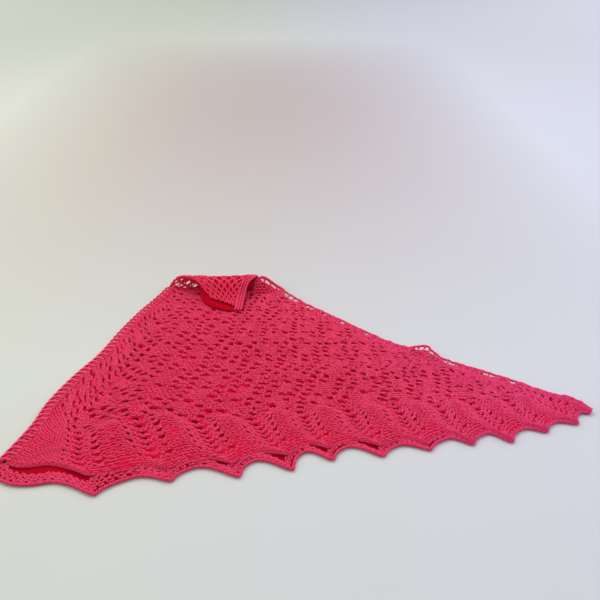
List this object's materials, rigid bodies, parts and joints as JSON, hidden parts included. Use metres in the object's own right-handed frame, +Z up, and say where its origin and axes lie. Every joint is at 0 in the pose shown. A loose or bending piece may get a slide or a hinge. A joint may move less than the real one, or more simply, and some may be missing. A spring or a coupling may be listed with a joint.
{
  "type": "triangle shawl",
  "caption": "Knitted lace triangle shawl, folded in half along its spine and laid flat, with a feather border and a turned-back neck corner.",
  "frame": {"origin": "middle of the part's box in plan, at the table it lies on", "axes": "+X from the spine's lower end to the wing tip, +Y from the scalloped front to the neck corner, +Z up"},
  "size_m": [0.7512, 0.4806, 0.0305],
  "materials": {
    "lace": "matt plied yarn, hand-knitted lace, raspberry pink",
    "edging": "matt plied yarn, knitted edge cords, raspberry pink"
  },
  "bodies": {
    "root": {"upper_body": "lace", "lower_body": "lace", "upper_border": "lace", "lower_border": "lace", "upper_cast_off": "edging", "lower_cast_off": "edging", "spine_fold": "lace", "upper_top_band": "edging", "lower_top_band": "edging", "neck_turnback": "lace", "neck_band": "edging"}
  },
  "joints": []
}
